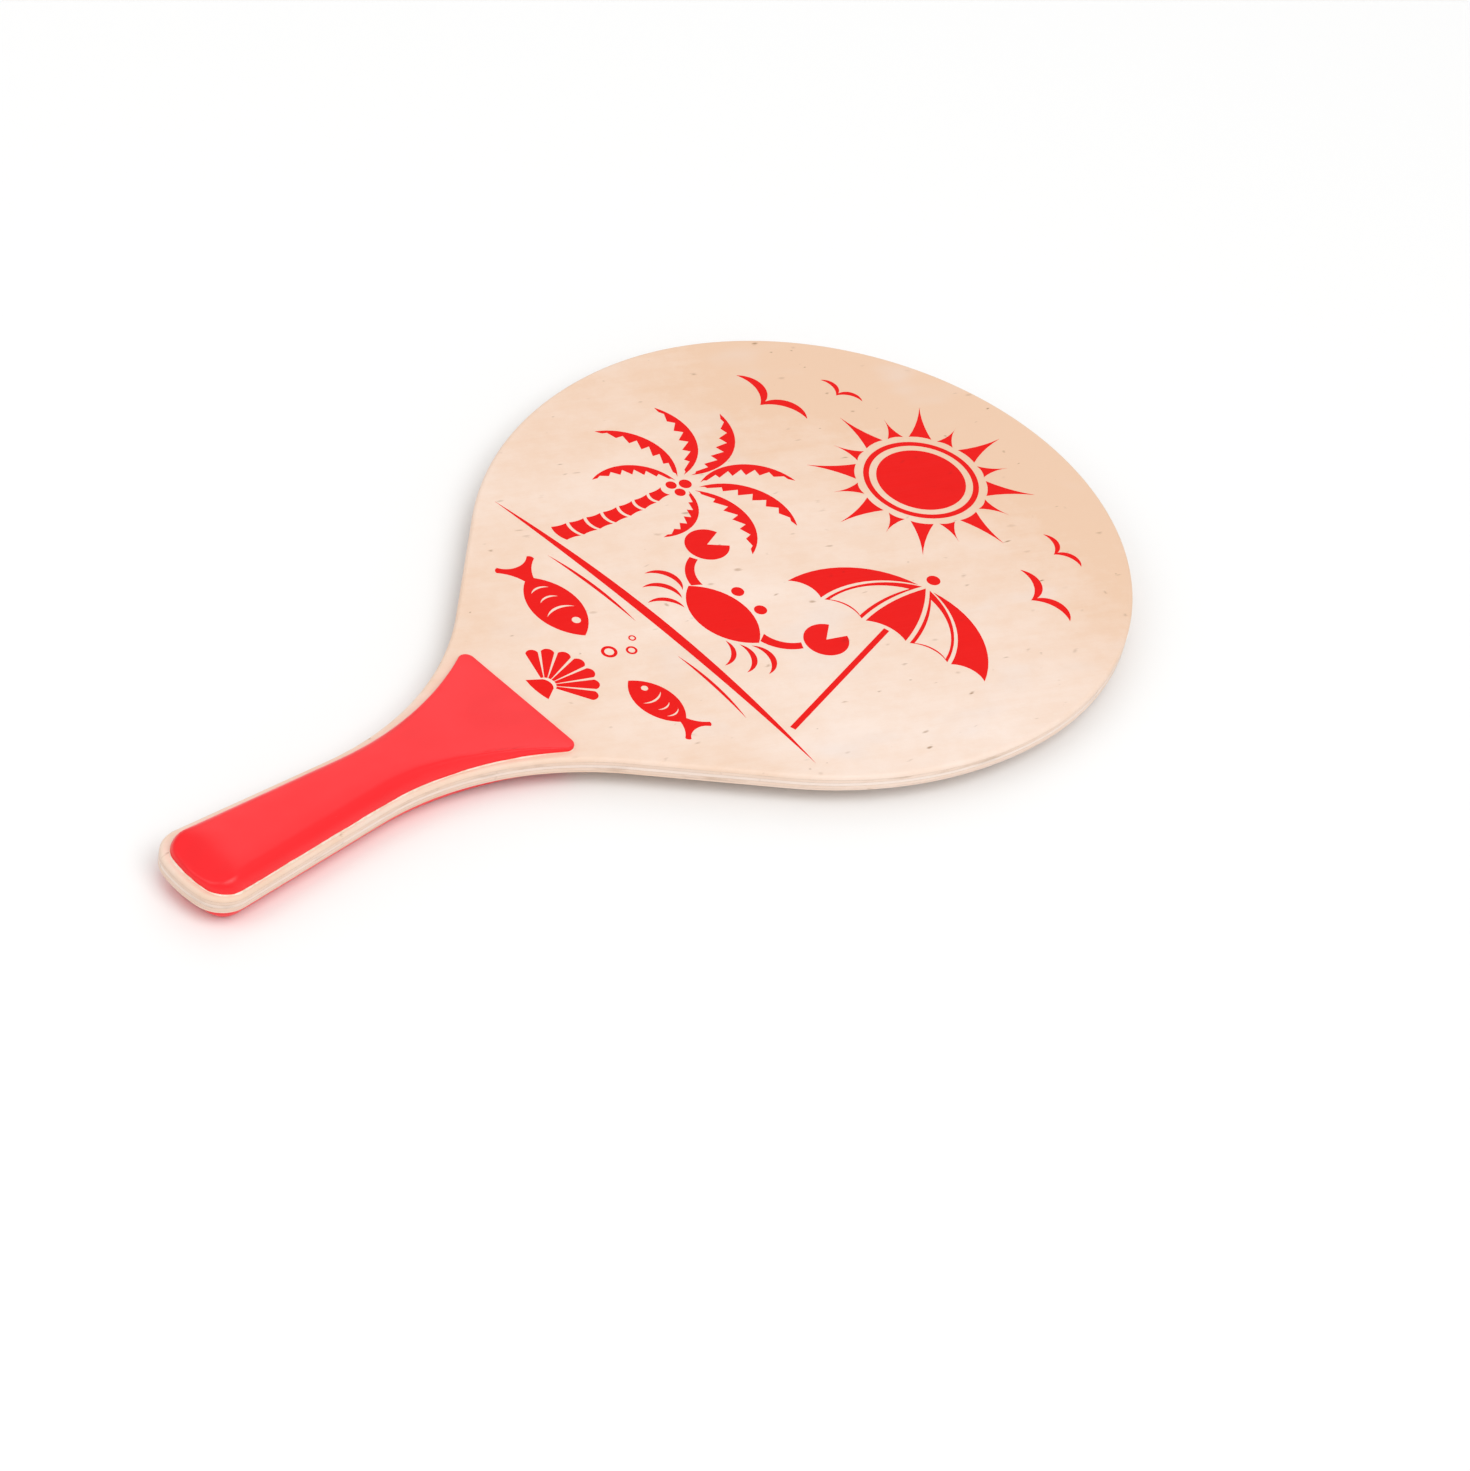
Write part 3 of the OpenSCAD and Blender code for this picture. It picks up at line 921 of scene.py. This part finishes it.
bm = bmesh.new()
crescent(bm, (-10, 0), (10, 0), 4, 2)
print("a crescent 20 mm long takes", len(bm.edges), "edges")
bm.free()

# %% [markdown]
# ### The sun
# A disc and a ring, with flame-like rays of two lengths. Every ray could be drawn, but the spin
# operator copies one of each length round the middle, so they stay alike. It stops one ray short of
# a full turn, because the next copy would lie on the first. Of three circles inside each other, the
# fill closes the inner disc and the outer ring, and leaves the gap between them open.

# %% Print the sun
INK_T = 0.04 * MM
SUN_RADII, SUN_SIZE = (13.8, 16.0, 17.8), 1.12
RAYS, RAY_FOOT, RAY_SAG, FOOT_SAG = 8, 20, -0.7, -0.5


def moved(bm, place, size=1.0, turn_deg=0.0, flip=1):
    """Sizes and turns a drawing about the page's middle and takes it to its place."""
    bmesh.ops.scale(bm, verts=bm.verts, vec=(flip * size, size, 1))
    bmesh.ops.rotate(bm, verts=bm.verts, matrix=Matrix.Rotation(math.radians(turn_deg), 3, "Z"))
    bmesh.ops.translate(bm, verts=bm.verts, vec=on_page(place))


def join(bm, part):
    """Adds a finished drawing to another one."""
    sheet = bpy.data.meshes.new("sheet")
    part.to_mesh(sheet)
    part.free()
    bm.from_mesh(sheet)
    bpy.data.meshes.remove(sheet)


def filled(bm):
    bmesh.ops.triangle_fill(bm, edges=bm.edges, use_beauty=True, normal=(0, 0, 1))
    return bm


def lay_print(bm, name):
    """Turns a filled page to the blade and raises it by the thickness of the ink."""
    bmesh.ops.rotate(bm, verts=bm.verts, matrix=Matrix.Rotation(-math.pi / 2, 3, "Z"))
    bmesh.ops.translate(bm, verts=bm.verts, vec=(0, 0, board_top))
    risen = bmesh.ops.extrude_face_region(bm, geom=bm.faces[:])["geom"]
    tops = [g for g in risen if isinstance(g, bmesh.types.BMVert)]
    bmesh.ops.translate(bm, verts=tops, vec=(0, 0, INK_T))
    paddle_piece(bm, name, red_ink)


def sun_rays(bm, reach, half_base, turn_deg):
    """Draws one ray and copies it to the places of the others."""
    part, copies = bmesh.new(), RAYS - 1
    left, right = (-half_base, RAY_FOOT), (half_base, RAY_FOOT)
    contour(part, left, (0, reach, RAY_SAG), (*right, RAY_SAG), (*left, FOOT_SAG))
    bmesh.ops.rotate(part, verts=part.verts, matrix=Matrix.Rotation(math.radians(turn_deg), 3, "Z"))
    bmesh.ops.spin(
        part, geom=part.verts[:] + part.edges[:], cent=(0, 0, 0), axis=(0, 0, 1),
        angle=copies * 2 * math.pi / RAYS, steps=copies, use_duplicate=True,
    )
    join(bm, part)


bm = bmesh.new()
for radius in SUN_RADII:
    ring_at(bm, (0, 0), radius)
sun_rays(bm, reach=35, half_base=3.5, turn_deg=0)
sun_rays(bm, reach=29, half_base=2.6, turn_deg=180 / RAYS)
moved(bm, (-3, 137), size=SUN_SIZE)
lay_print(filled(bm), "print_sun")

# %% [markdown]
# ### The gulls
# A gull is two thin wings that meet in a point, between two pairs of arcs. One bird is drawn with
# a span of 1, and each copy gets its own span, place and turn.


# %% Print the gulls
def gull(span, place, turn_deg):
    part = bmesh.new()
    left, middle, right, breast = (-0.5, 0.12), (0, 0), (0.5, 0.12), (0, -0.09)
    contour(part, left, (*middle, 0.16), (*right, 0.16), (*breast, -0.10), (*left, -0.10))
    moved(part, place, size=span, turn_deg=turn_deg)
    return filled(part)


bm = bmesh.new()
for span, place, turn_deg in (
    (31, (-63, 121), 8), (28, (62, 126), -10), (19, (50, 149), -4), (17, (-52, 146), 14),
):
    join(bm, gull(span, place, turn_deg))
lay_print(bm, "print_gulls")

# %% [markdown]
# ### The palm
# The trunk is a stack of tapered rings along a bent line, and each frond has a smooth arched back
# and a row of teeth below. Both are loops over a share from 0 to 1, because the rings and the teeth
# differ only in where they sit.

# %% Print the palm
TRUNK_RINGS, RING_SHARE = 7, 0.82
TRUNK_X, TRUNK_Y, TRUNK_LEAN, TRUNK_BEND, TRUNK_RISE = -52, 14, 4, 7, 46
TRUNK_HALF, TRUNK_TAPER = 3.9, 1.7
TEETH, TOOTH_TIP, TOOTH_ROOT, BACK_SAG = 7, (0.5, 0.10), (0.72, 0.19), 0.27


def trunk_side(share, sign):
    """A place on the left or right side of the trunk, which leans and bends as it rises."""
    middle = TRUNK_X + TRUNK_LEAN * share + TRUNK_BEND * share * (1 - share)
    return middle + sign * (TRUNK_HALF - TRUNK_TAPER * share), TRUNK_Y + TRUNK_RISE * share


def trunk_ring(bm, low, high):
    first, second = trunk_side(low, -1), trunk_side(low, 1)
    third, fourth = trunk_side(high, 1), trunk_side(high, -1)
    contour(bm, first, (*second, -0.9), (*third, 0.35), (*fourth, 0.9), (*first, 0.35))


def frond(bm, crown, tip):
    """A leaf with a smooth arched back and a toothed lower side."""
    crown, tip = Vector(crown), Vector(tip)
    chord = tip - crown
    sign = 1 if chord.x > 0 else -1
    normal = sign * Vector((-chord.y, chord.x))
    moves = [(*tip, sign * BACK_SAG * chord.length)]
    for tooth in range(TEETH, 0, -1):
        for back, bulge in (TOOTH_TIP, TOOTH_ROOT):
            share = (tooth - back) / TEETH
            moves.append((*(crown + share * chord + 4 * share * (1 - share) * bulge * normal), 0))
    contour(bm, crown, *moves, (*crown, 0))


bm = bmesh.new()
for step in range(TRUNK_RINGS):
    part = bmesh.new()
    trunk_ring(part, step / TRUNK_RINGS, (step + RING_SHARE) / TRUNK_RINGS)
    join(bm, filled(part))
for crown, tip in (
    ((-50, 65.5), (-66, 42)), ((-51, 67.5), (-84, 60)),
    ((-50.5, 70), (-82, 86)), ((-49, 72), (-67, 103)),
    ((-44.5, 72), (-27, 100)), ((-43, 70), (-10, 84)),
    ((-42.5, 67.5), (-8, 61)), ((-43.5, 65.5), (-31, 42)),
):
    part = bmesh.new()
    frond(part, crown, tip)
    join(bm, filled(part))
part = bmesh.new()
for place, radius in (((-49, 62.6), 1.9), ((-44.6, 62.6), 1.9), ((-46.8, 67.1), 2.2)):
    ring_at(part, place, radius)
join(bm, filled(part))
lay_print(bm, "print_palm")

# %% [markdown]
# ### The parasol
# The cloth is five gores that meet at the top. A gore could be cut out of one dome with a knife
# tool, but it is simpler to draw each between its two ribs and to shrink it about its hem, which
# leaves a gap to the next. A second, smaller outline inside the first makes every other gore open.

# %% Print the parasol
RIBS, RIB_BULGE, CLOTH_H, HEM_SAG = (-34, -21.5, -7.5, 7.5, 21.5, 34), 7.5 / 34, 27, 2.2
GORE, GORE_OPENING = (0.905, 0.0), (0.748, 3.6)
POLE_HALF, POLE_FOOT, POLE_TOP, PARASOL_SIZE = 0.9, -54.5, 0.6, 1.12


def gore(left, right, outlines):
    """One panel between two ribs. Each outline has a size and the height it shrinks about."""
    part = bmesh.new()
    for share, height in outlines:
        sheet = bmesh.new()
        contour(
            sheet, (left, 0), (right, 0, HEM_SAG), (0, CLOTH_H, -RIB_BULGE * right),
            (left, 0, RIB_BULGE * left),
        )
        about = Matrix.Translation(-on_page(((left + right) / 2, height)))
        bmesh.ops.scale(sheet, verts=sheet.verts, vec=(share, share, 1), space=about)
        join(part, sheet)
    return filled(part)


bm = bmesh.new()
for index, (left, right) in enumerate(zip(RIBS, RIBS[1:])):
    join(bm, gore(left, right, (GORE, GORE_OPENING) if index % 2 else (GORE,)))
part = bmesh.new()
contour(
    part, (-POLE_HALF, POLE_FOOT), (POLE_HALF, POLE_FOOT, 0), (POLE_HALF, POLE_TOP, 0),
    (-POLE_HALF, POLE_TOP, 0), (-POLE_HALF, POLE_FOOT, 0),
)
ring_at(part, (0, 29.2), 2.1)
join(bm, filled(part))
moved(bm, (44.3, 71.3), size=PARASOL_SIZE, turn_deg=15)
lay_print(bm, "print_parasol")

# %% [markdown]
# ### The crab on its dune
# One arm, one claw, one eye and three legs are drawn on the right, and the mirror operator makes
# the left. A claw is a disc with a wedge left out, so its vertex runs out, spins most of the way
# round and runs back. Two arcs between the same two places make a leg and a line of the dune, and
# also the body, where both of them bulge outward.

# %% Print the crab on its dune
CRAB_SIZE = 1.15
CLAW, CLAW_R, CLAW_STEPS = (24.5, 17.5), 6.6, 48
CLAW_OPENS, CLAW_TURN = math.radians(128), math.radians(302)
bm = bmesh.new()
contour(bm, (12.6, 4.2), (21.2, 10.6, -1.6), (23.4, 9.4, 0), (14.2, 1.2, 1.6), (12.6, 4.2, 0))
claw = on_page(CLAW)
first = bm.verts.new(claw)
vert = line_on(bm, first, CLAW_R * MM * ray(CLAW_OPENS))
vert = arc_on(bm, vert, claw, CLAW_TURN, CLAW_STEPS)
vert = line_on(bm, vert, claw - vert.co)
bmesh.ops.weld_verts(bm, targetmap={vert: first})
ring_at(bm, (4.7, 10.6), 1.9)
for hip, foot, outer, inner in (
    ((14.2, -2.2), (25.5, -6.5), 4.6, 2.8),
    ((11.8, -4.8), (21.5, -11.2), 4.0, 2.3),
    ((8.4, -7.0), (15.8, -14.4), 3.2, 1.7),
):
    crescent(bm, hip, foot, outer, inner)
mirrored(bm, "X")
crescent(bm, (-14.5, 0.4), (14.5, 0.4), 7.6, -8.6)
moved(bm, (8, 31.5), size=CRAB_SIZE)
crescent(bm, (-76, 7), (76, 7), 6.2, 2.6)
crescent(bm, (-46, 3.4), (-6, 5.4), 1.9, 0.6)
crescent(bm, (14, 5.2), (48, 3.2), 1.8, 0.6)
lay_print(filled(bm), "print_crab_and_dune")

# %% [markdown]
# ### The fish and the shell
# A fish is one chain of arcs, with an eye and three curved slits left open in it, and its two
# copies differ in size and turn. A bubble is one circle inside another. The shell is a fan of ribs.
# A loop gives each rib its angle, and the ribs are longest in the middle of the fan.

# %% Print the fish, the bubbles and the shell
FISH_LEN, BUBBLE_HOLE = 40, 0.6
SHELL_RIBS, FAN_START, FAN_STEP, RIB_ANGLE = 7, 162, 19.4, 15.5
RIB_FOOT, RIB_END, FAN_CROWN = 3.6, 14.5, 2.2


def fish(length, place, turn_deg, flip):
    part = bmesh.new()
    contour(
        part, (-20, 0), (10.5, 1.8, 7.6), (18.2, 7.6, -0.8), (20.2, 6.0, 0.6), (17.4, 0, -0.8),
        (20.2, -6.0, -0.8), (18.2, -7.6, 0.6), (10.5, -1.8, -0.8), (-20, 0, 7.6),
    )
    ring_at(part, (-12.6, 1.9), 1.5)
    crescent(part, (-7.0, -5.6), (-7.0, 5.6), -2.6, -1.6)
    for right in (-0.5, 4.5):
        crescent(part, (right, -3.6), (right, 3.6), -1.8, -1.0)
    moved(part, place, size=length / FISH_LEN, turn_deg=turn_deg, flip=flip)
    return filled(part)


def shell_rib(bm, rib):
    """One rib of the fan: straight sides and a round end."""
    low, high = (math.radians(FAN_START - FAN_STEP * rib - gap) for gap in (0, RIB_ANGLE))
    reach = RIB_END + FAN_CROWN * math.sin((low + high) / 2)
    first, second, third, fourth = (
        (radius * math.cos(angle), radius * math.sin(angle))
        for radius, angle in ((RIB_FOOT, low), (reach, low), (reach, high), (RIB_FOOT, high))
    )
    contour(bm, first, (*second, 0), (*third, 1.5), (*fourth, 0), (*first, 0))


bm = bmesh.new()
join(bm, fish(length=40, place=(-30, -11), turn_deg=-6, flip=-1))
join(bm, fish(length=31, place=(29, -15), turn_deg=5, flip=1))
part = bmesh.new()
for place, radius in (((0, -12), 2.7), ((3.6, -5.4), 1.9), ((-0.6, -1.2), 1.3)):
    ring_at(part, place, radius)
    ring_at(part, place, BUBBLE_HOLE * radius)
join(bm, filled(part))
part = bmesh.new()
for rib in range(SHELL_RIBS):
    shell_rib(part, rib)
contour(part, (-5.4, -3.6), (5.4, -3.6, -0.6), (2.6, 1.2, 0), (-2.6, 1.2, -1.0), (-5.4, -3.6, 0))
moved(part, (0, -40))
join(bm, filled(part))
lay_print(bm, "print_fish_and_shell")

# %% [markdown]
# ## Measuring up
# The finished pieces have to stay inside the CAD model's box, so both boxes are written down.

# %% Write the sizes and finish
low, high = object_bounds()
print("visual box in mm:", [round(size / MM, 2) for size in high - low])
